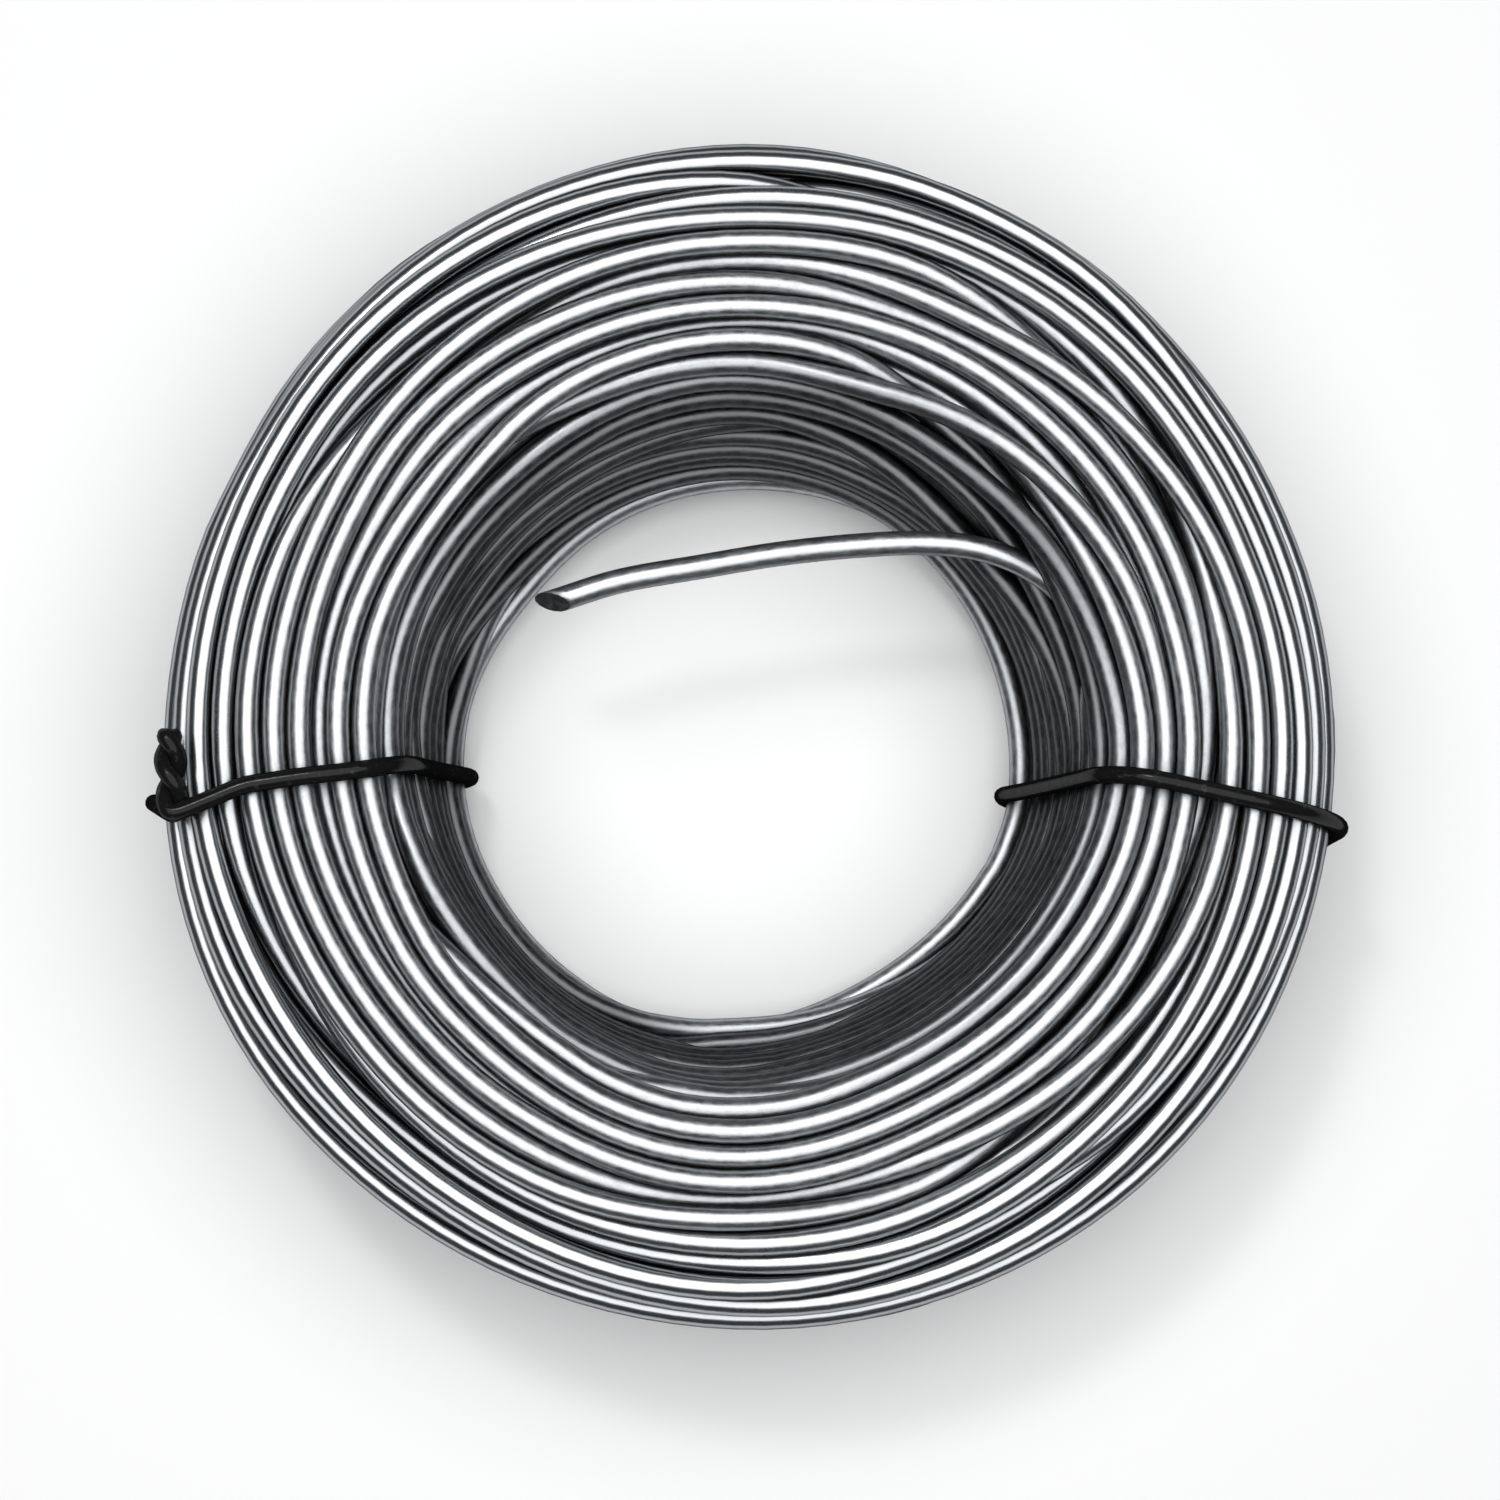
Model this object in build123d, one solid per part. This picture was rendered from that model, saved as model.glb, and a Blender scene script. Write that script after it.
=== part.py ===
from build123d import *
import os
from math import cos, hypot, pi, radians, sin, tan

os.makedirs("parts", exist_ok=True)

# Driving dimensions in millimetres and degrees
wire_d = 1.6                 # 16 gauge bright tie wire
outer_d = 76.0               # over the outermost turns
coil_height = 21.0           # from face to face, over the turns
bore_low_d = 31.8            # where the slanting bore wall would meet the lower face
bore_high_d = 42.8           # where it would meet the upper face
outer_corner = 6.4           # roundings of the winding's section, over the turns
bore_low_corner = 3.0
bore_high_corner = 4.2
turns_round_section = 34     # turns that show round the section
turn_relief = 0.35           # depth of the groove between two turns

# The free inner end of the wire, a chord across the bore, seen from above
free_end_height = 14.9       # over the winding's lower face
free_end_route = [(21.4, 1.8), (18.2, 10.3), (10.2, 11.95), (-3.0, 10.7), (-13.0, 8.0)]
free_end_bends = [7.0, 9.0, 70.0]
nip_angle = 40.0             # slope of the cut end to the wire's axis

# The two black binding ties, each one wire with its ends twisted together
tie_d = 1.1
tie_gap = 0.02               # space between a tie and the turns under it
left_tie_angle = 187.5
right_tie_angle = -11.0
left_tie_bow = -1.2          # how far the run over the upper face bows aside
right_tie_bow = 2.0
bow_share = 0.3              # where the bow is full, as a share of the run from each end
twist_pitch = 4.4
bends_per_twist = 8          # straight runs that make one turn of a twist
bend_share = 0.45            # how much of its shorter run a bend takes
pair_clearance = 0.15        # between a twisted pair and the winding's shoulder
bend_lift = 0.65             # how far a bend point stands off, so that its arc clears the turns

# Where the ties' bends lie on a shoulder: the rise from level, and the distance along the rim
left_pair = ((38, 0.8), (62, -5.2))
left_bends = ((58, 3.0), (12, 2.0))
right_pair = ((22, -1.6), (40, -7.0))
right_bends = ((60, 0.4), (10, -1.0))

# Places worked out from them
base_z = tie_d + tie_gap
top_z = base_z + coil_height
middle_z = base_z + coil_height / 2
tie_reach = tie_gap + tie_d / 2
tie_outer_r = outer_d / 2 + tie_reach
wall_run = (bore_high_d - bore_low_d) / 2
wall_slope = hypot(wall_run, coil_height) / coil_height
strand_r = (tie_d / 2 + tie_gap) / cos(pi / bends_per_twist)
shoulder_r = outer_d / 2 - outer_corner
shoulder_half_height = coil_height / 2 - outer_corner
pair_reach = outer_corner + pair_clearance + strand_r + tie_d / 2
outer_bend = outer_corner + tie_reach
bore_low_bend = bore_low_corner + tie_reach
bore_high_bend = bore_high_corner + tie_reach


def bore_r(z, outset=0):
    # Radius of the slanting bore wall at a height, or of a line set off from it into the bore
    return bore_low_d / 2 + wall_run * (z - base_z) / coil_height - outset * wall_slope


def section_outline():
    # The winding's section: a straight slanting wall at the bore, and four rounded corners
    corners = [(bore_r(base_z), base_z), (outer_d / 2, base_z)]
    corners += [(outer_d / 2, top_z), (bore_r(top_z), top_z)]
    roundings = [bore_low_corner, outer_corner, outer_corner, bore_high_corner]
    return FilletPolyline(*corners, radius=roundings, close=True)


def winding_section():
    # The outline, with a low ridge for each turn that shows
    outline = section_outline()
    middle = Vector((outer_d / 2 + bore_r(middle_z)) / 2, middle_z)

    def sunk(turn, depth):
        share = turn / turns_round_section
        along = outline.tangent_at(share)
        inward = Vector(-along.Y, along.X)
        if inward.dot(middle - outline.position_at(share)) < 0:
            inward = -inward
        return outline.position_at(share) + inward * depth

    ridges = []
    for turn in range(turns_round_section):
        ridges.append(sunk(turn, turn_relief))
        ridges.append(sunk(turn + 0.5, 0))
    return make_face(Polyline(*ridges, close=True))


def free_end():
    # One bent stretch of wire, nipped off at a slope
    route = [(x, y, base_z + free_end_height) for x, y in free_end_route]
    path = FilletPolyline(*route, radius=free_end_bends)
    wire = sweep(Plane(path @ 0, z_dir=path % 0) * Circle(wire_d / 2), path)
    nip = Plane(path @ 1, z_dir=path % 1).rotated((0, 90 - nip_angle, 0))
    nip = nip.offset(-wire_d / 2)
    return split(wire, nip, keep=Keep.BOTTOM)


def wire_coil():
    # The winding is one turned solid, and its free inner end leaves the wall of its bore
    return revolve(Plane.XZ * winding_section(), Axis.Z) + free_end()


def bend_radii(route, largest):
    # One radius for each corner, as large as its two runs allow
    radii = []
    for before, corner, after, limit in zip(route, route[1:], route[2:], largest):
        arriving = corner - before
        leaving = after - corner
        half_turn = radians(arriving.get_angle(leaving)) / 2
        run = min(arriving.length, leaving.length) * bend_share
        radii.append(min(limit, run / tan(half_turn)))
    return radii


def shoulder_point(rise, along, side, reach):
    # A place over the winding's outer shoulder: rise is the angle from level, along is the
    # distance from the tie's own plane, and side is 1 for the upper shoulder, -1 for the lower
    level = shoulder_r + reach * cos(radians(rise))
    height = shoulder_half_height + reach * sin(radians(rise))
    return Vector(level, along, middle_z + side * height)


def twisted_pair(start, end, side):
    # Two strands wound round the line from start to end, the first from the face's side
    axis = (end - start).normalized()
    outward = Vector(0, 0, 1).cross(axis).normalized()
    if outward.X < 0:
        outward = -outward
    faceward = axis.cross(outward)
    if faceward.Z * side < 0:
        faceward = -faceward
    count = round((end - start).length / twist_pitch * bends_per_twist)
    strands = []
    for phase in (0, pi):
        strand = []
        for step in range(count + 1):
            turn = phase + 2 * pi * step / bends_per_twist
            middle = start + axis * (twist_pitch * step / bends_per_twist)
            strand.append(middle + (faceward * cos(turn) + outward * sin(turn)) * strand_r)
        strands.append(strand)
    return strands


def face_run(side, bow):
    # The run over one face, from the outer shoulder to the bore: its points, and their bends
    z = middle_z + side * (coil_height / 2 + tie_reach)
    inner_corner = Vector(bore_r(z, tie_reach), 0, z)
    if side < 0:
        return [Vector(shoulder_r, 0, z), inner_corner], [outer_bend, bore_low_bend]
    run = (tie_outer_r - inner_corner.X) * bow_share
    bowed = [Vector(tie_outer_r - run, bow, z), Vector(inner_corner.X + run, bow, z)]
    return bowed + [inner_corner], [outer_bend, outer_bend, bore_high_bend]


def tie(angle, side, bow, pair, bends):
    # One wire: a strand of the twist, the loop round the winding, and the other strand
    start, end = (shoulder_point(*place, side, pair_reach) for place in pair)
    near_strand, far_strand = twisted_pair(start, end, side)
    face_bend, side_bend = (shoulder_point(*place, side, outer_bend + bend_lift) for place in bends)
    near_face, near_limits = face_run(side, bow)
    far_face, far_limits = face_run(-side, bow)
    if side > 0:
        far_face, far_limits = far_face[1:], far_limits[1:]
    far_corner = Vector(tie_outer_r, 0, middle_z - side * (coil_height / 2 + tie_reach))
    loop = [face_bend] + near_face + far_face[::-1] + [far_corner, side_bend]
    limits = [outer_bend] * 2 + near_limits + far_limits[::-1] + [outer_bend] * 3
    radii = bend_radii(near_strand[1::-1] + loop + far_strand[:2], limits)
    sharp = [0] * (len(near_strand) - 2)
    path = FilletPolyline(*near_strand[::-1], *loop, *far_strand, radius=sharp + radii + sharp)
    section = Plane(path @ 0, z_dir=path % 0) * Circle(tie_d / 2)
    return Rot(0, 0, angle) * sweep(section, path, transition=Transition.RIGHT)


def tie_left():
    # Its twist is bent over and lies up along the rim, on the upper shoulder
    return tie(left_tie_angle, 1, left_tie_bow, left_pair, left_bends)


def tie_right():
    # Its twist is tucked under the rim, on the lower shoulder
    return tie(right_tie_angle, -1, right_tie_bow, right_pair, right_bends)


export_step(wire_coil(), "parts/wire_coil.step")
export_step(tie_left(), "parts/tie_left.step")
export_step(tie_right(), "parts/tie_right.step")
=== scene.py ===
from math import ceil, cos, pi, radians, sin, sqrt, tan

import bpy
import numpy as np
from mathutils import Matrix, Vector


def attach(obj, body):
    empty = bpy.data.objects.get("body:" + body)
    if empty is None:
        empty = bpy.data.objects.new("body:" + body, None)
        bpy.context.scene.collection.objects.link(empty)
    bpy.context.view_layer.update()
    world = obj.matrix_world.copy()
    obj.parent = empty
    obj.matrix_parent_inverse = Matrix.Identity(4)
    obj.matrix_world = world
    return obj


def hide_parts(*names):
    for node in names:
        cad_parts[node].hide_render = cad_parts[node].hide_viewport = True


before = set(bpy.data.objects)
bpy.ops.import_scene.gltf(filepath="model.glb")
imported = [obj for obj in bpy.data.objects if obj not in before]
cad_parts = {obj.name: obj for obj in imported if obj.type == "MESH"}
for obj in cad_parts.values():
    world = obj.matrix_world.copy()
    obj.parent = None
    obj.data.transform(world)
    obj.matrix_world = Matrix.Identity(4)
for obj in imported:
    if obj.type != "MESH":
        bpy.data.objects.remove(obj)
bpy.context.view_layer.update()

MM = 0.001
TINY = 1e-9                      # keeps a division by zero away

# The wire and the winding's section, in metres
WIRE_D = 1.6 * MM
WIRE_R = WIRE_D / 2
BASE_Z = 1.12 * MM               # the underside of the winding, which lies on the ties
COIL_HEIGHT = 21.0 * MM
OUTER_R = 37.7 * MM
BORE_LOW_R = 17.2 * MM           # where the slanted bore wall would meet the lower face
BORE_HIGH_R = 21.8 * MM          # where it would meet the upper face
MIDDLE_Z = BASE_Z + COIL_HEIGHT / 2
TOE = 1.0 * MM                   # how far the lowest turns stand out into the bore
TOE_HEIGHT = 4.3 * MM
TOE_EDGE = 0.8 * MM              # the height over which the toe fades out
# Roundings of the section: the bore's lower corner, the rim's two corners, the bore's upper corner
CORNERS = (3.0 * MM, 6.4 * MM, 6.4 * MM, 4.2 * MM)
CORNER_STEPS = 8
GRID_STEP = 0.1 * MM             # of the grid on which the section is looked up
GRID_MARGIN = 4 * MM

# How the outlines differ from circles: (bumps round the coil, size, bearing of one of them)
OUTER_LOBES = [(1, 0.2 * MM, -172), (2, 0.55 * MM, 87), (3, 0.45 * MM, -17), (4, 0.2 * MM, 35)]
LOW_BORE_LOBES = [(1, 1.69 * MM, -122), (2, 0.71 * MM, 15), (3, 0.45 * MM, -26), (4, 0.4 * MM, -14)]
HIGH_BORE_LOBES = [(1, 1.36 * MM, -150), (2, 0.66 * MM, -47), (3, 0.46 * MM, -2), (4, 0.8 * MM, -4)]

# The slots that the turns start from
SLOT_PITCH = 1.66 * MM
EDGE_LAYER_PITCH = 1.42 * MM     # between layers of turns at the bore and at the rim
MIDDLE_LAYER_PITCH = 1.2 * MM    # and half way, where turns at two levels show side by side
LAYER_PITCH_POWER = 0.7          # how soon the pitch changes from the one to the other
SECTION_WIDTH = 22.0 * MM
SLOT_RANGE = (-9, 22)            # slots tried in each layer
SLOT_OVERHANG = 0.22 * MM        # how far outside the section a slot may lie
SECOND_LAYER_TOE = 0.5           # how much of the toe the second layer follows
LATE_TURNS = 2                   # highest turns of the first layer, wound after the second layer

# The planned path of the wire
STATIONS = 72                    # places round the coil at which the turns settle
HALF_STATION = pi / STATIONS * 1.01   # a little over half the angle between two of them
FIRST_BEARING = 10.0             # where the wire's first whole turn starts, in degrees
MOVE_PLACE = 0.5                 # where a turn moves over to its next slot, as a share of the turn
MOVE_DRIFT = 0.38                # how far that place drifts, how fast, and from where
MOVE_DRIFT_STEP = 0.3
MOVE_DRIFT_START = 1.0
MOVE_LENGTH = 0.35
SWAPS = 30                       # places where two turns cross over each other and back
SWAP_TURNS = (1.1, 2.6)          # how long they stay crossed
SWAP_RISE = 0.45                 # turns that a crossing takes
SWAP_NEIGHBOURS = 4              # nearest turns, of which one is the other turn
SEED = 16

# The settling of the turns
WANDER = 0.4 * MM
WANDER_WAVES = 4.0               # a turn
SLACK = 0.2 * MM                 # how far the outline's turns lie inside the section
SLACK_VARIATION = 0.25 * MM
SLACK_WAVES = 5.0                # a turn
LOOSE_FROM = 1.0 * MM            # turns at the bore wall are tight, and get looser from here on
LOOSE_RUN = 4.0 * MM
TIGHT_SLACK = 0.25               # what is left of the slack and the wander at the bore wall
TIGHT_WANDER = 0.3
# Turns that stand off from the rest: bearing, half width in degrees, gap, and the place of the turn
STRAYS = [(227, 24, 0.42, 37, 15), (138, 18, 0.4, 35, 20), (24, 16, 0.3, 36, 18), (85, 24, 0.35, 36, 17)]
STRAY_FADE = 1.5                 # half widths at which the gap has closed
STRAY_FROM_R = 33 * MM
STRAY_REACH = STATIONS // 3      # stations on each side over which the lone turn itself keeps its place
ITERATIONS = 400
CONTACT_EVERY = 8                # iterations between two searches for contacts
CONTACT_REACH = 1.45 * WIRE_D
CONTACT_GAP = WIRE_D * 1.005
CONTACT_PUSH = 0.225
CONTACT_PASSES = 3
BEND_PUSH = 0.9
BEND_PASSES = 2
TENSION = 0.2
PULL = 0.004                     # towards the planned path, first and at last
LAST_PULL = 0.0015
LAST_PULL_FROM = 0.6

# The skin of the wire
SKIN_R = 0.785 * MM              # a little thinner, so that touching turns don't cut into each other
SIDES = 14
SPANS = 5                        # curve points from one station to the next
SKIN_EVERY = 3                   # curve points from one ring of the skin to the next
STRIP_RINGS = 120                # rings in a strip of the baked textures
STRIP_MARGIN = 0.05
JOIN_SHARES = (0.3, 0.63)        # where one piece of the skin ends and the next one starts
JOIN_SEARCH = 10                 # each join is looked for over the wire's length divided by this

# The free inner end, seen from above, in millimetres
FREE_END = [(-12.8, 8.03), (-8.53, 9.39), (-3.48, 10.31), (1.58, 11.17), (6.4, 11.7), (10.6, 11.9),
            (14.0, 11.6), (16.9, 10.6), (19.3, 8.9), (20.9, 6.6), (21.5, 4.0), (21.3, 1.6)]
FREE_END_DROOP = 0.6 * MM
FREE_END_SPANS = 6
INTO_COIL = [3, 5, 7, 9, 11]     # stations that the free end's curve goes on through
INTO_COIL_JOIN = 7               # the station where it hands over to the winding's own curve
NIP_SLOPE = 0.9
NIP_SHARES = (1.0, 0.6, 0.25)    # how much of the slope the first rings have

# The two ties. A pair is (rise from level in degrees, millimetres along the rim) of its two ends, and
# a bow is (millimetres along the loop, millimetres aside)
TIE_R = 0.55 * MM
TIE_GAP = 0.02 * MM
TIE_SIDES = 14
TWIST_PITCH = 4.4 * MM
TWIST_STEPS = 12                 # points in one turn of a twist
STRAND_R = TIE_R * 1.03
PAIR_REACH = WIRE_R + 2.15 * TIE_R + TIE_R
TIE_HALF_WIDTH = 6               # degrees of the winding on each side that a tie lies on
LOOP_START = 72                  # where a tie's loop leaves the twist, in degrees above level
LOOP_END = 375
LOOP_SAMPLES = 720
LOOP_STEP = 0.4 * MM
LOOP_EVERY = 2                   # steps from one point of the loop's curve to the next
LOOP_EASING = 12
BOW_EASING = 6
TIE_SPANS = 6
TIE_STEP = 0.25 * MM
TIE_EASING = 8
TIE_END_SHARES = (0.35, 0.8, 0.96)
LEFT_TIE = {
    "angle": 187.5, "side": 1, "pair": [(48, 1.2), (54, -4.0)],
    "bow": [(0, 0.05), (3, -0.1), (6, 0), (8, 0), (11, -0.35), (16, -0.2), (62, -0.2), (71, 0.3), (76, 0.9)],
}
RIGHT_TIE = {
    "angle": -11.0, "side": -1, "pair": [(36, -1.6), (47, -6.4)],
    "bow": [(0, -0.9), (4, -0.2), (20, 0), (28, 0.5), (38, 1.2), (44, 1.0), (52, 1.05), (58, 0.8),
            (65, 0.3), (69, 0), (77, -1.0)],
}

# The galvanised surface
GRAIN_SCALE = 3200
GRAIN_STRETCH = 0.5              # of its lengthwise scale
GRAIN_RANGE = (0.35, 0.65)
SCRATCH_SCALE = 6000
SCRATCH_STRETCH = 0.03
SCRATCH_RANGE = (0.3, 0.7)
SCRATCH_TINT = (0.46, 0.51)
RUBBED_R = (34.0 * MM, 29.0 * MM)    # from smooth at the first radius to rubbed at the second
MOTTLE_TINT = 0.08               # how much the mottling of the rubbed turns lightens and darkens
GROOVE_SHADE_REACH = 2.0 * MM            # how near other turns have to be for a groove to get painted shade
GROOVE_SHADE_RANGE = (0.3, 0.8)
GROOVE_SHADE_TINT = 0.36                 # share of the colour that the painted shade leaves in the deepest groove
WALL_SHADE_R = (21.0 * MM, 23.5 * MM)  # from the full painted shade of the bore wall to none
WALL_SHADE_TINT = 0.3                  # share of the colour that the bore wall's painted shade leaves
UNSHADED_TIP_LENGTH = (38 * MM, 46 * MM)    # where the free end's stretch without the painted shade ends, from the wire's tip
UNSHADED_LOW_HEIGHT = (4.9 * MM, 6.0 * MM)  # and the height over the lowest turns below which the painted shade is left off
RED_SHARE = 0.965                # of the green
BLUE_SHARE = 1.025
SMOOTH_ROUGHNESS = 0.25
RUBBED_ROUGHNESS = 0.13          # added where the wire is rubbed
MOTTLE_ROUGHNESS = 0.06
EDGE_TINT = (0.03, 0.035, 0.04, 1)   # darkens what is seen at a low angle

# The ties' coating
RIPPLE_SCALE = 900
RIPPLE_RANGE = (0.35, 0.7)
RIPPLE_ROUGHNESS = (0.1, 0.2)
RIPPLE_STRENGTH = 0.4
RIPPLE_DEPTH = 0.06 * MM
SPECK_SCALE = 2600
SPECK_RANGE = (0.6, 0.72)
SPECK_TINT = (0.008, 0.03)
GLOSS_RANGE = (0.35, 0.7)
GLOSS = (0.14, 0.0)              # seen straight on, and at a low angle

# The camera: the photo's pixels to a metre at half the coil's height, and the pixel over its axis
PHOTO_SCALE = 15.6 / MM
PHOTO_SIZE = 1500
CENTRE_PX = (752, 735)
CAMERA_DISTANCE = 250 * MM
CAMERA_TILT = (2.5, 5.0)         # to the left and towards the near side, in degrees
CLIP_START = 0.01

# The light and the floor
SOFTBOX = {"place": (0, 0, 0.40), "size": 0.58, "level": 0.88}
SMALL_LAMP = {"place": (-0.10, 0.16, 0.42), "size": 0.07, "level": 0.12}
WORLD_COLOUR = (0.045, 0.048, 0.053, 1)
FLOOR_HALF = 3.0
FLOOR_COLOUR = (0.95, 0.95, 0.95, 1)
FLOOR_ROUGHNESS = 0.9
GLOW_RANGE = (0.12, 0.7)         # metres from the coil, over which the floor's own glow comes up
GLOW = 0.85

rng = np.random.default_rng(SEED)


def section_boundary(inset):
    # The section's outline, inset by a distance: corners rounded by arcs, as (r, z) rows
    low, high = BASE_Z, BASE_Z + COIL_HEIGHT
    corners = [(BORE_LOW_R, low), (OUTER_R, low), (OUTER_R, high), (BORE_HIGH_R, high)]
    corners = [Vector(c) for c in corners]
    rows = []
    for i, corner in enumerate(corners):
        before = (corners[i - 1] - corner).normalized()
        after = (corners[(i + 1) % 4] - corner).normalized()
        half = before.angle(after) / 2
        inward = (before + after).normalized()
        radius = CORNERS[i]
        centre = corner + inward * (radius / sin(half))
        start = corner + before * (radius / tan(half))
        end = corner + after * (radius / tan(half))
        for step in range(CORNER_STEPS + 1):
            spoke = (start - centre).slerp(end - centre, step / CORNER_STEPS).normalized()
            rows.append(centre + spoke * (radius - inset))
    return np.array(rows)


class Section:
    """How far a wire's centre is outside the section, and which way is out, looked up on a grid."""

    def __init__(self, inset):
        self.low = np.array([BORE_LOW_R - GRID_MARGIN, BASE_Z - GRID_MARGIN])
        size = np.array([OUTER_R + GRID_MARGIN, BASE_Z + COIL_HEIGHT + GRID_MARGIN]) - self.low
        counts = np.ceil(size / GRID_STEP).astype(int)
        axes = [self.low[i] + GRID_STEP * np.arange(counts[i]) for i in (0, 1)]
        p = np.stack(np.meshgrid(*axes, indexing="ij"), -1)[:, :, None, :]
        a = section_boundary(inset)
        along = np.roll(a, -1, 0) - a
        share = ((p - a) * along).sum(-1) / (along ** 2).sum(-1)
        near = a + np.clip(share, 0, 1)[..., None] * along
        distance = np.hypot(*np.moveaxis(p - near, -1, 0)).min(-1)
        side = (along[..., 0] * (p - a)[..., 1] - along[..., 1] * (p - a)[..., 0]).min(-1)
        self.distance = np.where(side > 0, -distance, distance)
        gr, gz = np.gradient(self.distance, GRID_STEP)
        steepness = np.hypot(gr, gz) + TINY
        self.out_r, self.out_z = gr / steepness, gz / steepness

    def at(self, p):
        i = ((p - self.low) / GRID_STEP).round().astype(int)
        i = tuple(np.clip(i, 0, np.array(self.distance.shape) - 1).T)
        return self.distance[i], self.out_r[i], self.out_z[i]


def lobes(bearings, rows):
    return sum(size * np.cos(count * (bearings - radians(at))) for count, size, at in rows)


def smooth_step(t):
    t = np.clip(t, 0, 1)
    return t * t * (3 - 2 * t)


def toe(z):
    # How far a place at this height is let into the bore
    return TOE * smooth_step((TOE_HEIGHT - (z - BASE_Z)) / TOE_EDGE + 0.5)


def slots():
    # Places for the turns, layer by layer from the bore outwards, each layer along the bore wall
    slant = np.array([BORE_HIGH_R - BORE_LOW_R, COIL_HEIGHT])
    slant = slant / np.hypot(*slant)
    across = np.array([slant[1], -slant[0]])
    start = np.array([BORE_LOW_R, BASE_Z]) + across * WIRE_R
    inside = Section(WIRE_R)
    made = []
    layer, depth = 0, 0.0
    while depth < SECTION_WIDTH:
        middle = sin(pi * min(depth / SECTION_WIDTH, 1)) ** LAYER_PITCH_POWER
        pitch = EDGE_LAYER_PITCH + (MIDDLE_LAYER_PITCH - EDGE_LAYER_PITCH) * middle
        apart = max(SLOT_PITCH, 2 * sqrt(SLOT_PITCH ** 2 - pitch ** 2))
        offset = apart / 2 * (layer % 2)
        steps = offset + apart * np.arange(*SLOT_RANGE)
        places = start + across * depth + steps[:, None] * slant
        kept = places[inside.at(places)[0] < SLOT_OVERHANG]
        depth += pitch
        layer += 1
        if layer <= 2:
            kept[:, 0] -= toe(kept[:, 1]) * (1.0 if layer == 1 else SECOND_LAYER_TOE)
        if layer == 1:
            # The wire starts under the highest turns of the first layer, which come after the second
            made += list(kept[-LATE_TURNS - 1::-1])
            late = list(kept[-LATE_TURNS:])
            continue
        made += list(kept[::-1] if layer % 2 else kept)
        made += late
        late = []
    return np.array(made)


def curve_weights(f):
    # How much the four points next to a place count there, on a smooth curve through all the points
    return (((-f + 2) * f - 1) * f / 2, (3 * f - 5) * f * f / 2 + 1,
            ((-3 * f + 4) * f + 1) * f / 2, (f - 1) * f * f / 2)


def smooth_noise(count, turns, waves_a_turn):
    # Slow random waves along the wire, one column each
    total = int(ceil(turns * waves_a_turn)) + 4
    knots = rng.standard_normal((total, count))
    u = np.arange(turns * STATIONS) / STATIONS * waves_a_turn + 1
    i = np.floor(u).astype(int)
    weights = curve_weights((u - i)[:, None])
    return sum(weight * knots[i + k - 1] for k, weight in enumerate(weights))


def spline(points, per_span):
    # A smooth curve through the points, per_span points a span
    padded = np.concatenate([2 * points[:1] - points[1:2], points, 2 * points[-1:] - points[-2:-1]])
    weights = curve_weights((np.arange(per_span) / per_span)[None, :, None])
    rows = sum(weight * padded[k:len(padded) - 3 + k, None] for k, weight in enumerate(weights))
    return np.concatenate([rows.reshape(-1, points.shape[1]), points[-1:]])


def planned_path(places):
    # Each turn keeps to its slot and moves over to the next one at a drifting bearing
    turns = len(places)
    u = np.arange(turns * STATIONS) / STATIONS
    turn = np.floor(u).astype(int)
    drift = np.cumsum(rng.standard_normal(turns) * MOVE_DRIFT_STEP) + MOVE_DRIFT_START
    place = MOVE_PLACE + MOVE_DRIFT * np.sin(drift)
    move = smooth_step((u - turn - place[turn]) / MOVE_LENGTH + 0.5)[:, None]
    following = np.minimum(turn + 1, turns - 1)
    path = places[turn] * (1 - move) + places[following] * move
    for _ in range(SWAPS):
        swap_turns(path)
    return path


def swap_turns(path):
    # Two neighbours change places for a stretch
    one = rng.integers(0, len(path))
    length = int(rng.uniform(*SWAP_TURNS) * STATIONS)
    others = np.arange(one % STATIONS, len(path), STATIONS)
    apart = np.hypot(*(path[others] - path[one]).T)
    apart[others == one] = np.inf
    other = others[np.argsort(apart)[rng.integers(0, SWAP_NEIGHBOURS)]]
    stretch = np.arange(length)
    a, b = one + stretch, other + stretch
    if max(a[-1], b[-1]) >= len(path):
        return
    rise = smooth_step(np.minimum(stretch, length - 1 - stretch) / (SWAP_RISE * STATIONS))[:, None]
    pa, pb = path[a].copy(), path[b].copy()
    path[a] = pa * (1 - rise) + pb * rise
    path[b] = pb * (1 - rise) + pa * rise


def stray_slack(slack, path, bearings):
    # One turn stays out on the outline, and the others draw in from it
    for bearing, half_width, gap, r, z in STRAYS:
        off = (bearings - radians(bearing) + pi) % (2 * pi) - pi
        near = smooth_step(STRAY_FADE - np.abs(off) / radians(half_width))
        others = gap * MM * near * (path[:, 0] > STRAY_FROM_R)
        at = np.flatnonzero(np.abs(off) < HALF_STATION)
        lone = at[np.hypot(path[at, 0] - r * MM, path[at, 1] - z * MM).argmin()]
        others[max(0, lone - STRAY_REACH):lone + STRAY_REACH] = 0
        slack = slack + others
    return slack


def contacts(p, turns):
    # Pairs of turns that may touch at a station
    q = p.reshape(turns, STATIONS, 2).transpose(1, 0, 2)
    close = ((q[:, :, None] - q[:, None]) ** 2).sum(-1) < CONTACT_REACH ** 2
    close &= np.triu(np.ones((turns, turns), bool), 1)
    station, a, b = np.nonzero(close)
    return a * STATIONS + station, b * STATIONS + station


def push_apart(p, one, other):
    apart = p[one] - p[other]
    gap = np.hypot(apart[:, 0], apart[:, 1]) + TINY
    push = apart / gap[:, None] * (np.maximum(CONTACT_GAP - gap, 0) * CONTACT_PUSH)[:, None]
    for axis in (0, 1):
        pushed = np.bincount(one, push[:, axis], len(p)) - np.bincount(other, push[:, axis], len(p))
        p[:, axis] += pushed


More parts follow.
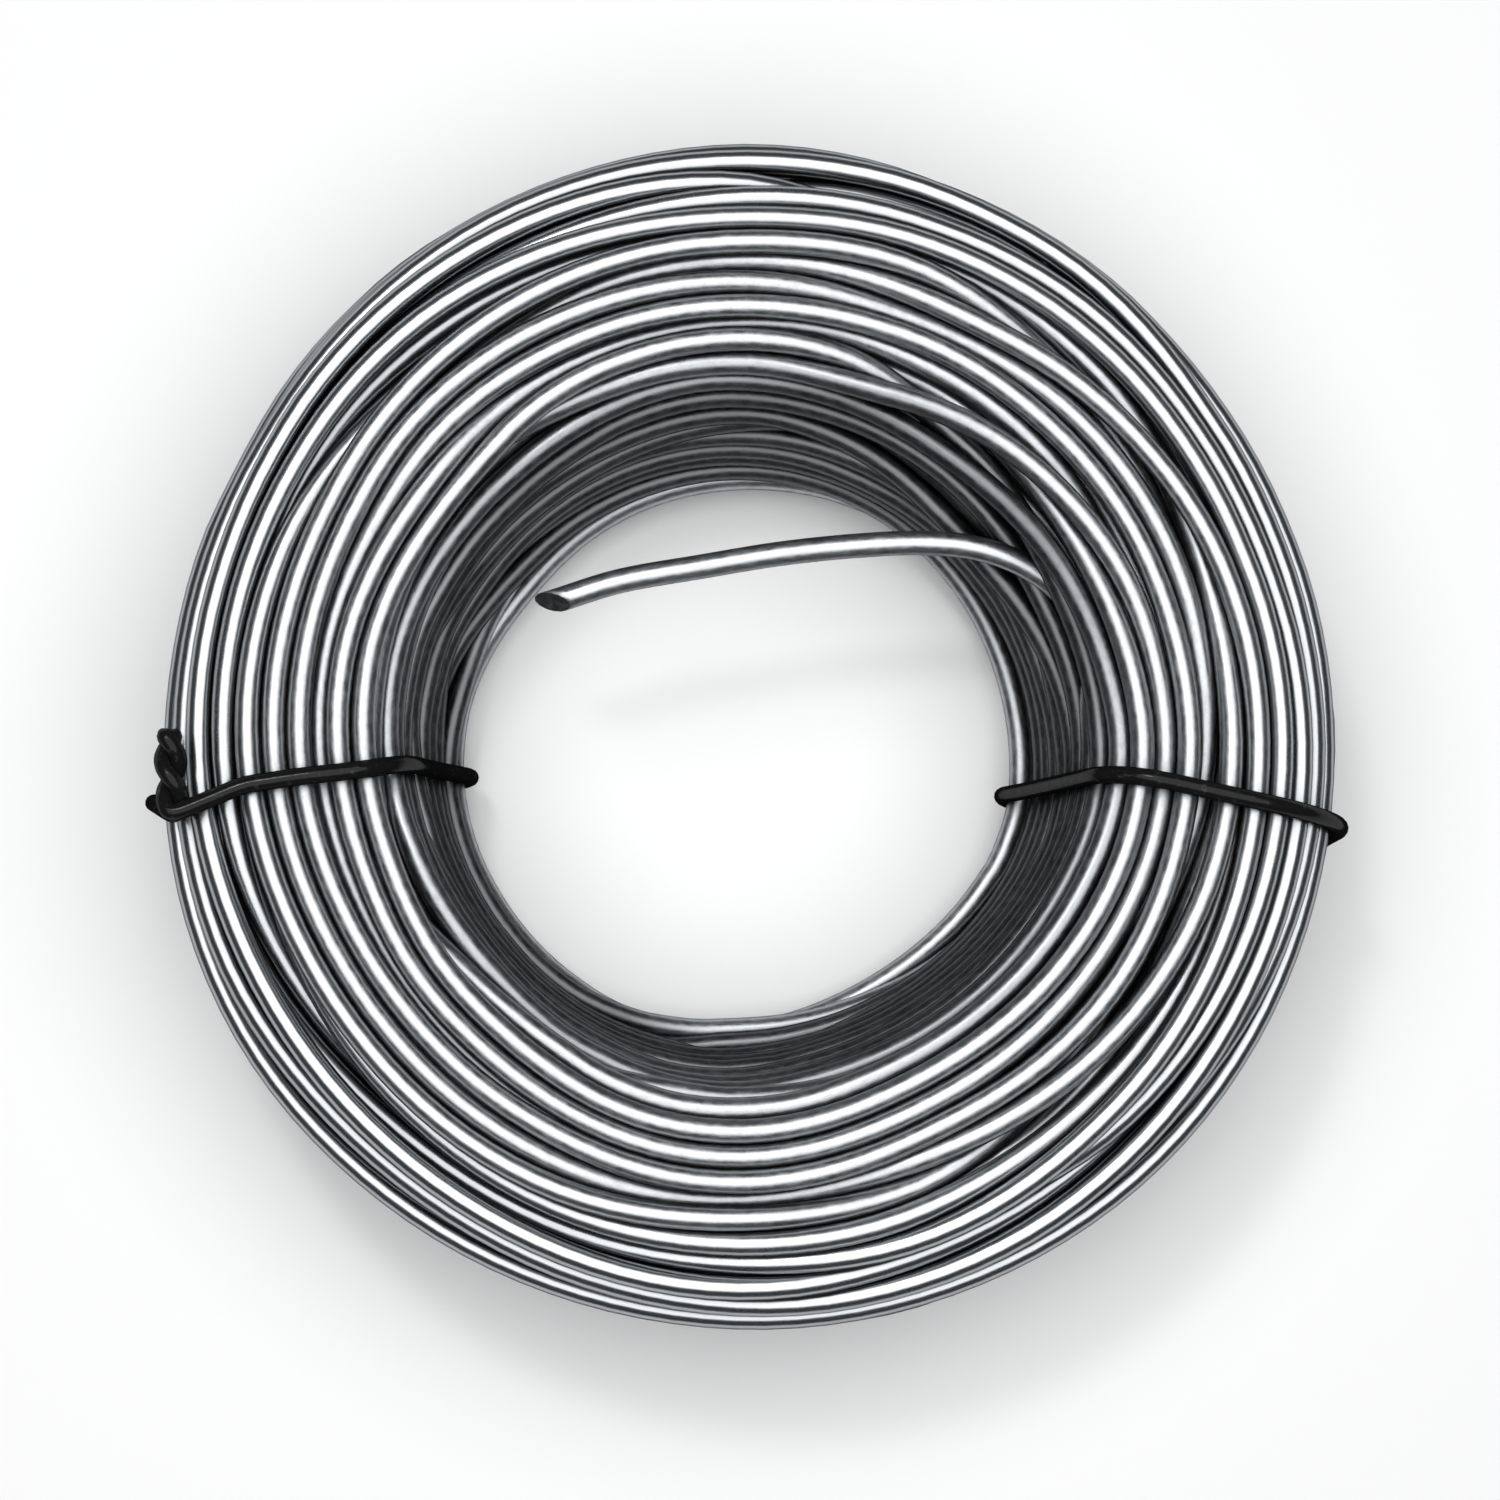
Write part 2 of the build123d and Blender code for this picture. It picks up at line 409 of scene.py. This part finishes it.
def settle(path, turns, bearings):
    # Relaxes the turns in the half planes of the stations: stiff, in contact, and held in the section
    wander = smooth_noise(2, turns, WANDER_WAVES)
    slack = SLACK + SLACK_VARIATION * smooth_noise(1, turns, SLACK_WAVES)[:, 0]
    wall = BORE_LOW_R + (BORE_HIGH_R - BORE_LOW_R) * (path[:, 1] - BASE_Z) / COIL_HEIGHT
    loose = smooth_step((path[:, 0] - wall - LOOSE_FROM) / LOOSE_RUN)
    slack = np.clip(slack, 0, None) * (TIGHT_SLACK + (1 - TIGHT_SLACK) * loose)
    slack = stray_slack(slack, path, bearings)
    target = path + WANDER * wander * (TIGHT_WANDER + (1 - TIGHT_WANDER) * loose)[:, None]
    section = Section(WIRE_R)
    outer = lobes(bearings, OUTER_LOBES)
    low_inner = lobes(bearings, LOW_BORE_LOBES)
    high_inner = lobes(bearings, HIGH_BORE_LOBES)
    iterations = ITERATIONS
    p = target.copy()
    for iteration in range(iterations):
        if iteration % CONTACT_EVERY == 0:
            one, other = contacts(p, turns)
        for _ in range(BEND_PASSES):
            bend = -(p[:-4] - 4 * p[1:-3] + 6 * p[2:-2] - 4 * p[3:-1] + p[4:]) / 16
            p[2:-2] += BEND_PUSH * bend
        p[1:-1] += TENSION * ((p[:-2] + p[2:]) / 2 - p[1:-1])
        p += (PULL if iteration < iterations * LAST_PULL_FROM else LAST_PULL) * (target - p)
        for _ in range(CONTACT_PASSES):
            push_apart(p, one, other)
            # The section is the same all round once the lobes are taken off
            height = (p[:, 1] - BASE_Z) / COIL_HEIGHT
            wall = BORE_LOW_R + (BORE_HIGH_R - BORE_LOW_R) * height
            share = (p[:, 0] - wall) / (OUTER_R - wall)
            inner = low_inner + (high_inner - low_inner) * height - toe(p[:, 1])
            plain = p[:, 0] - inner * (1 - share) - outer * share
            out, out_r, out_z = section.at(np.stack([plain, p[:, 1]], -1))
            out = np.maximum(out + slack, 0)
            p[:, 0] -= out * out_r
            p[:, 1] -= out * out_z
    return p


def wire_line():
    # The free end's points, the winding's centre line, and its turns as (r, z) at the bearings
    places = slots()
    turns = len(places)
    bearings = radians(FIRST_BEARING) - np.arange(turns * STATIONS) * 2 * pi / STATIONS
    path = settle(planned_path(places), turns, bearings)
    line = np.stack([path[:, 0] * np.cos(bearings), path[:, 0] * np.sin(bearings), path[:, 1]], -1)
    free_end = np.array([(x * MM, y * MM, line[0, 2]) for x, y in FREE_END])
    free_end[:, 2] -= FREE_END_DROOP * np.linspace(1, 0, len(free_end))
    return free_end, line, path.reshape(turns, STATIONS, 2), bearings[:STATIONS]


def wire_frames(line):
    # Two directions across the line at each point, carried along it without twist
    ahead = np.gradient(line, axis=0)
    ahead /= np.linalg.norm(ahead, axis=1)[:, None]
    side = np.cross(ahead[0], (0, 0, 1))
    sides = np.empty_like(line)
    for i, t in enumerate(ahead):
        side = side - t * (t @ side)
        side = side / sqrt(side @ side)
        sides[i] = side
    return ahead, sides, np.cross(sides, ahead)


def fill_mesh(mesh, rings):
    # Quads between the rings of vertices, and a flat fan of triangles over each end
    count, sides = rings.shape[:2]
    vertices = np.concatenate([rings.reshape(-1, 3), rings[:1].mean(1), rings[-1:].mean(1)])
    ring = np.arange(count - 1)[:, None] * sides
    k = np.arange(sides)[None, :]
    k2 = (k + 1) % sides
    quads = np.stack([ring + k, ring + sides + k, ring + sides + k2, ring + k2], -1).reshape(-1, 4)
    last = (count - 1) * sides
    first_fan = np.stack([np.full(sides, count * sides), k[0], k2[0]], -1)
    last_fan = np.stack([np.full(sides, count * sides + 1), last + k2[0], last + k[0]], -1)
    corners = np.concatenate([quads.ravel(), first_fan.ravel(), last_fan.ravel()])
    sizes = np.concatenate([np.full(len(quads), 4), np.full(2 * sides, 3)])
    mesh.vertices.add(len(vertices))
    mesh.vertices.foreach_set("co", vertices.astype(np.float32).ravel())
    mesh.loops.add(len(corners))
    mesh.loops.foreach_set("vertex_index", corners.astype(np.int32))
    mesh.polygons.add(len(sizes))
    starts = np.concatenate([[0], np.cumsum(sizes)[:-1]])
    mesh.polygons.foreach_set("loop_start", starts.astype(np.int32))
    mesh.polygons.foreach_set("use_smooth", sizes == 4)
    mesh.update(calc_edges=True)


def add_straightened(mesh, line, radius, sides):
    # Where each point is on the wire if it were pulled straight, for the scratches and grain
    turn = np.arange(sides) * 2 * pi / sides
    length = np.concatenate([[0], np.cumsum(np.linalg.norm(np.diff(line, axis=0), axis=1))])
    round_the_wire = [np.tile(np.cos(turn) * radius, len(line)), np.tile(np.sin(turn) * radius, len(line))]
    straight = np.stack([np.repeat(length, sides), *round_the_wire], -1)
    straight = np.concatenate([straight, [[0, 0, 0]], [[length[-1], 0, 0]]])
    attribute = mesh.attributes.new("straightened", "FLOAT_VECTOR", "POINT")
    attribute.data.foreach_set("vector", straight.astype(np.float32).ravel())


def add_strips(mesh, count, sides):
    # The skin cut open along the wire, in strips one above the other, for the baked textures
    strips = ceil((count - 1) / STRIP_RINGS)
    i = np.arange(count - 1)[:, None]
    k = np.arange(sides)[None, :]
    u0, u1 = (i % STRIP_RINGS) / STRIP_RINGS, (i % STRIP_RINGS + 1) / STRIP_RINGS
    used = 1 - 2 * STRIP_MARGIN
    v0, v1 = ((i // STRIP_RINGS + STRIP_MARGIN + used * (k + step) / sides) / strips for step in (0, 1))
    u0, u1 = (np.broadcast_to(u, v0.shape) for u in (u0, u1))
    skin = np.stack([u0, v0, u1, v0, u1, v1, u0, v1], -1).ravel()
    fans = np.tile([0.0, 0.0], 6 * sides)
    layout = mesh.uv_layers.new(name="OFBake")
    layout.data.foreach_set("uv", np.concatenate([skin, fans]).astype(np.float32))


def tube(name, line, radius, sides, material, ends=None):
    # A closed skin round the line, one ring of vertices a point
    ahead, side, up = wire_frames(line)
    turn = np.arange(sides) * 2 * pi / sides
    across = side[:, None] * np.cos(turn)[None, :, None] + up[:, None] * np.sin(turn)[None, :, None]
    rings = line[:, None] + across * radius
    if ends is not None:
        ends(rings, line, ahead, side, up)
    mesh = bpy.data.meshes.new(name)
    fill_mesh(mesh, rings)
    add_straightened(mesh, line, radius, sides)
    add_strips(mesh, len(line), sides)
    mesh.materials.append(material)
    mesh.validate()
    piece = bpy.data.objects.new(name, mesh)
    bpy.context.scene.collection.objects.link(piece)
    return piece


def node(tree, kind, inputs=None, **settings):
    made = tree.nodes.new(kind)
    for key, value in settings.items():
        setattr(made, key, value)
    for key, value in (inputs or {}).items():
        if isinstance(value, bpy.types.NodeSocket):
            tree.links.new(value, made.inputs[key])
        else:
            made.inputs[key].default_value = value
    return made


def maths(tree, operation, *values):
    return node(tree, "ShaderNodeMath", dict(enumerate(values)), operation=operation).outputs[0]


def ramp(tree, value, start_end, low, high):
    # Goes from low to high while the value goes from the start to the end
    start, end = start_end
    inputs = {"Value": value, "From Min": start, "From Max": end, "To Min": low, "To Max": high}
    return node(tree, "ShaderNodeMapRange", inputs).outputs[0]


def noise(tree, place, scale, detail, roughness):
    inputs = {"Vector": place, "Scale": scale, "Detail": detail, "Roughness": roughness}
    return node(tree, "ShaderNodeTexNoise", inputs).outputs["Fac"]


def lengthwise(tree, straight, stretch):
    # The places on the straightened wire, closer together along it, so that a noise is drawn out
    return node(tree, "ShaderNodeMapping", {"Vector": straight, "Scale": (stretch, 1, 1)}).outputs[0]


def new_material(name):
    material = bpy.data.materials.new(name)
    material.use_nodes = True
    return material, material.node_tree, material.node_tree.nodes["Principled BSDF"]


def bore_wall_painted_shade(tree, distance, height, straight):
    # Painted shade darkens the bore wall's turns, but not the lowest ones nor the free end's stretch
    wall = ramp(tree, distance, WALL_SHADE_R, WALL_SHADE_TINT, 1.0)
    length = node(tree, "ShaderNodeSeparateXYZ", {"Vector": straight}).outputs["X"]
    unshaded_tip = ramp(tree, length, UNSHADED_TIP_LENGTH, 1.0, 0.0)
    low = ramp(tree, height, UNSHADED_LOW_HEIGHT, 1.0, 0.0)
    return maths(tree, "MAXIMUM", wall, maths(tree, "MAXIMUM", low, unshaded_tip))


def galvanised_wire():
    material, tree, shader = new_material("galvanised_wire")
    straight = node(tree, "ShaderNodeAttribute", attribute_name="straightened").outputs["Vector"]
    grain = noise(tree, lengthwise(tree, straight, GRAIN_STRETCH), GRAIN_SCALE, 3, 0.6)
    scratch = noise(tree, lengthwise(tree, straight, SCRATCH_STRETCH), SCRATCH_SCALE, 3, 0.6)
    place = node(tree, "ShaderNodeTexCoord").outputs["Object"]
    split = node(tree, "ShaderNodeSeparateXYZ", {"Vector": place}).outputs
    flat = node(tree, "ShaderNodeCombineXYZ", {"X": split["X"], "Y": split["Y"]}).outputs[0]
    distance = node(tree, "ShaderNodeVectorMath", {0: flat}, operation="LENGTH").outputs["Value"]
    # The middle of the faces is rubbed and mottled, and the rim's turns are smooth
    rubbed = ramp(tree, distance, RUBBED_R, 0.0, 1.0)
    mottle = maths(tree, "MULTIPLY", ramp(tree, grain, GRAIN_RANGE, -1.0, 1.0), rubbed)
    streak = ramp(tree, scratch, SCRATCH_RANGE, *SCRATCH_TINT)
    tint = maths(tree, "MULTIPLY_ADD", mottle, MOTTLE_TINT, streak)
    # Painted shade darkens the grooves between the turns, where neighbouring turns are near
    openness = node(tree, "ShaderNodeAmbientOcclusion", {"Distance": GROOVE_SHADE_REACH}, samples=2).outputs["AO"]
    shade = maths(tree, "MULTIPLY", tint, ramp(tree, openness, GROOVE_SHADE_RANGE, GROOVE_SHADE_TINT, 1.0))
    green = maths(tree, "MULTIPLY", shade, bore_wall_painted_shade(tree, distance, split["Z"], straight))
    red = maths(tree, "MULTIPLY", green, RED_SHARE)
    blue = maths(tree, "MULTIPLY", green, BLUE_SHARE)
    colour = node(tree, "ShaderNodeCombineColor", {"Red": red, "Green": green, "Blue": blue})
    tree.links.new(colour.outputs[0], shader.inputs["Base Color"])
    dull = maths(tree, "MULTIPLY_ADD", rubbed, RUBBED_ROUGHNESS, SMOOTH_ROUGHNESS)
    rough = maths(tree, "MULTIPLY_ADD", mottle, MOTTLE_ROUGHNESS, dull)
    tree.links.new(rough, shader.inputs["Roughness"])
    shader.inputs["Metallic"].default_value = 1.0
    shader.inputs["Specular Tint"].default_value = EDGE_TINT
    return material


def black_tie():
    material, tree, shader = new_material("black_tie")
    straight = node(tree, "ShaderNodeAttribute", attribute_name="straightened").outputs["Vector"]
    ripple = noise(tree, straight, RIPPLE_SCALE, 3, 0.55)
    speck = noise(tree, straight, SPECK_SCALE, 2, 0.6)
    worn = ramp(tree, speck, SPECK_RANGE, *SPECK_TINT)
    colour = node(tree, "ShaderNodeCombineColor", {"Red": worn, "Green": worn, "Blue": worn})
    tree.links.new(colour.outputs[0], shader.inputs["Base Color"])
    tree.links.new(ramp(tree, ripple, RIPPLE_RANGE, *RIPPLE_ROUGHNESS), shader.inputs["Roughness"])
    relief = {"Strength": RIPPLE_STRENGTH, "Distance": RIPPLE_DEPTH, "Height": ripple}
    tree.links.new(node(tree, "ShaderNodeBump", relief).outputs[0], shader.inputs["Normal"])
    # The gloss fades where the coating is seen at a low angle
    facing = node(tree, "ShaderNodeLayerWeight", {"Blend": 0.5}).outputs["Facing"]
    tree.links.new(ramp(tree, facing, GLOSS_RANGE, *GLOSS), shader.inputs["Specular IOR Level"])
    return material


def nipped_tip(rings, line, ahead, side, up):
    # Slopes the first rings, so that the wire ends in the slanted cut of a pair of nippers
    for ring, share in enumerate(NIP_SHARES):
        across = rings[ring] - line[ring]
        slope = (across @ (up[ring] + side[ring]))[:, None] * ahead[ring]
        rings[ring] += slope * share * NIP_SLOPE


def deepest_place(line, share):
    # A place near that share of the wire where it lies deep in the winding, out of sight
    start = int(len(line) * share)
    stretch = line[start:start + len(line) // JOIN_SEARCH]
    middle_r = (BORE_LOW_R + BORE_HIGH_R) / 4 + OUTER_R / 2
    away = np.hypot(np.hypot(stretch[:, 0], stretch[:, 1]) - middle_r, stretch[:, 2] - MIDDLE_Z)
    return start + int(away.argmin())


def build_coil(free_end, line, material):
    fine = spline(line, SPANS)[::SKIN_EVERY]
    head = spline(np.concatenate([free_end, line[INTO_COIL]]), FREE_END_SPANS)
    head = head[:FREE_END_SPANS * (len(free_end) + INTO_COIL.index(INTO_COIL_JOIN))]
    first = ceil(INTO_COIL_JOIN * SPANS / SKIN_EVERY)
    one, two = (deepest_place(fine, share) for share in JOIN_SHARES)
    inner = np.concatenate([head, fine[first:one + 1]])
    made = [
        tube("wire_coil_inner_turns", inner, SKIN_R, SIDES, material, nipped_tip),
        tube("wire_coil_middle_turns", fine[one:two + 1], SKIN_R, SIDES, material),
        tube("wire_coil_outer_turns", fine[two:], SKIN_R, SIDES, material),
    ]
    for piece in made:
        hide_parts("wire_coil")
        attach(piece, "root")


def evenly(line, step):
    # The same line with a point every step
    along = np.concatenate([[0], np.cumsum(np.linalg.norm(np.diff(line, axis=0), axis=1))])
    at = np.linspace(0, along[-1], int(along[-1] / step) + 1)
    return np.stack([np.interp(at, along, line[:, k]) for k in range(line.shape[1])], -1)


def eased(line, passes):
    for _ in range(passes):
        line = line.copy()
        line[1:-1] = (line[:-2] + 2 * line[1:-1] + line[2:]) / 4
    return line


def touching(centres, side, degrees, reach):
    # Places a reach away from the outermost of the turns, each in one of the directions
    way = np.stack([np.cos(np.radians(degrees)), side * np.sin(np.radians(degrees))], -1)
    return centres[(centres @ way.T).argmax(0)] + reach * way


def tie_loop(centres, side, bow):
    # The wire drawn tight round the turns, and bowed aside
    degrees = np.linspace(LOOP_START, LOOP_END, LOOP_SAMPLES)
    loop = touching(centres, side, degrees, WIRE_R + TIE_GAP + TIE_R)
    loop = eased(evenly(loop, LOOP_STEP), LOOP_EASING)[::LOOP_EVERY]
    along = np.arange(len(loop)) * LOOP_EVERY * LOOP_STEP / MM
    aside = eased((np.interp(along, *zip(*bow)) * MM)[:, None], BOW_EASING)[:, 0]
    return np.stack([loop[:, 0], aside, loop[:, 1]], -1)


def twisted_strands(centres, side, pair):
    # The tie's two ends, wound round each other over the rim
    ends = []
    for rise, aside in pair:
        r, z = touching(centres, side, np.array([rise]), PAIR_REACH)[0]
        ends.append(np.array([sqrt(r ** 2 - (aside * MM) ** 2), aside * MM, z]))
    axis = ends[1] - ends[0]
    length = np.linalg.norm(axis)
    axis /= length
    outward = np.cross((0, 0, 1), axis)
    outward *= np.sign(outward[0]) / np.linalg.norm(outward)
    faceward = np.cross(axis, outward)
    faceward *= np.sign(faceward[2] * side)
    turn = np.arange(int(length / TWIST_PITCH * TWIST_STEPS) + 1)[:, None] / TWIST_STEPS
    strands = []
    for phase in (0, pi):
        a = phase + 2 * pi * turn
        wound = (faceward * np.cos(a) + outward * np.sin(a)) * STRAND_R
        strands.append(ends[0] + axis * turn * TWIST_PITCH + wound)
    return strands


def tie_line(turns, bearings, angle, side, pair, bow):
    # In the tie's own plane: x away from the bore's axis, y along the rim, z up
    near = np.abs((bearings - radians(angle) + pi) % (2 * pi) - pi) < radians(TIE_HALF_WIDTH)
    centres = turns[:, near].reshape(-1, 2)
    near_strand, far_strand = twisted_strands(centres, side, pair)
    line = np.concatenate([near_strand[::-1], tie_loop(centres, side, bow), far_strand])
    line = eased(evenly(spline(line, TIE_SPANS), TIE_STEP), TIE_EASING)
    a = radians(angle)
    return line @ np.array([[cos(a), sin(a), 0], [-sin(a), cos(a), 0], [0, 0, 1]])


def rounded_ends(rings, line, ahead, side, up):
    for k, share in enumerate(TIE_END_SHARES):
        rings[k] = line[k] + (rings[k] - line[k]) * share
        rings[-1 - k] = line[-1 - k] + (rings[-1 - k] - line[-1 - k]) * share


def build_tie(name, turns, bearings, settings, material):
    line = tie_line(turns, bearings, **settings)
    piece = tube(name + "_wire", line, TIE_R, TIE_SIDES, material, rounded_ends)
    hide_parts(name)
    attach(piece, "root")


def add_camera():
    # Looks down on the coil, tilted a little towards its near and left sides
    tilt_x, tilt_y = (radians(tilt) for tilt in CAMERA_TILT)
    back = Vector((-tan(tilt_x), -tan(tilt_y), 1)).normalized()
    middle_px = PHOTO_SIZE / 2
    target_x = (middle_px - CENTRE_PX[0]) / PHOTO_SCALE
    target_y = (CENTRE_PX[1] - middle_px) / PHOTO_SCALE
    camera = bpy.data.objects.new("camera", bpy.data.cameras.new("camera"))
    camera.location = Vector((target_x, target_y, MIDDLE_Z)) + back * CAMERA_DISTANCE
    right = Vector((0, 1, 0)).cross(back).normalized()
    camera.rotation_mode = "QUATERNION"
    camera.rotation_quaternion = Matrix((right, back.cross(right), back)).transposed().to_quaternion()
    camera.data.lens = camera.data.sensor_width * CAMERA_DISTANCE * PHOTO_SCALE / PHOTO_SIZE
    camera.data.clip_start = CLIP_START
    bpy.context.scene.collection.objects.link(camera)
    bpy.context.scene.camera = camera


def add_lamp(name, place, size, level):
    # A round lamp that gives a white level surface under it that level of brightness
    lamp = bpy.data.objects.new(name, bpy.data.lights.new(name, "AREA"))
    lamp.data.shape = "DISK"
    lamp.data.size = size
    place = Vector(place)
    spread = (size / 2) ** 2 / ((size / 2) ** 2 + place.length ** 2)
    facing = place.normalized().z
    lamp.data.energy = level / (spread * facing) * pi * pi * (size / 2) ** 2
    lamp.location = place
    lamp.rotation_mode = "QUATERNION"
    lamp.rotation_quaternion = place.to_track_quat("Z", "Y")
    bpy.context.scene.collection.objects.link(lamp)


def add_light():
    add_lamp("overhead_softbox", **SOFTBOX)
    add_lamp("small_lamp", **SMALL_LAMP)
    world = bpy.data.worlds.new("studio")
    world.use_nodes = True
    world.node_tree.nodes["Background"].inputs["Color"].default_value = WORLD_COLOUR
    bpy.context.scene.world = world


def add_floor():
    mesh = bpy.data.meshes.new("floor")
    corners = [(-1, -1), (1, -1), (1, 1), (-1, 1)]
    mesh.from_pydata([(x * FLOOR_HALF, y * FLOOR_HALF, 0) for x, y in corners], [], [(0, 1, 2, 3)])
    floor = bpy.data.objects.new("floor", mesh)
    material, tree, shader = new_material("floor")
    shader.inputs["Base Color"].default_value = FLOOR_COLOUR
    shader.inputs["Roughness"].default_value = FLOOR_ROUGHNESS
    # Far from the coil, where the lamps don't reach, the floor stays pale by itself
    place = node(tree, "ShaderNodeTexCoord").outputs["Object"]
    distance = node(tree, "ShaderNodeVectorMath", {0: place}, operation="LENGTH").outputs["Value"]
    tree.links.new(ramp(tree, distance, GLOW_RANGE, 0.0, GLOW), shader.inputs["Emission Strength"])
    shader.inputs["Emission Color"].default_value = (1, 1, 1, 1)
    mesh.materials.append(material)
    bpy.context.scene.collection.objects.link(floor)


bpy.context.scene.view_settings.view_transform = "Standard"
add_camera()
add_light()
add_floor()
free_end, line, turns, bearings = wire_line()
build_coil(free_end, line, galvanised_wire())
tie_material = black_tie()
build_tie("tie_left", turns, bearings, LEFT_TIE, tie_material)
build_tie("tie_right", turns, bearings, RIGHT_TIE, tie_material)
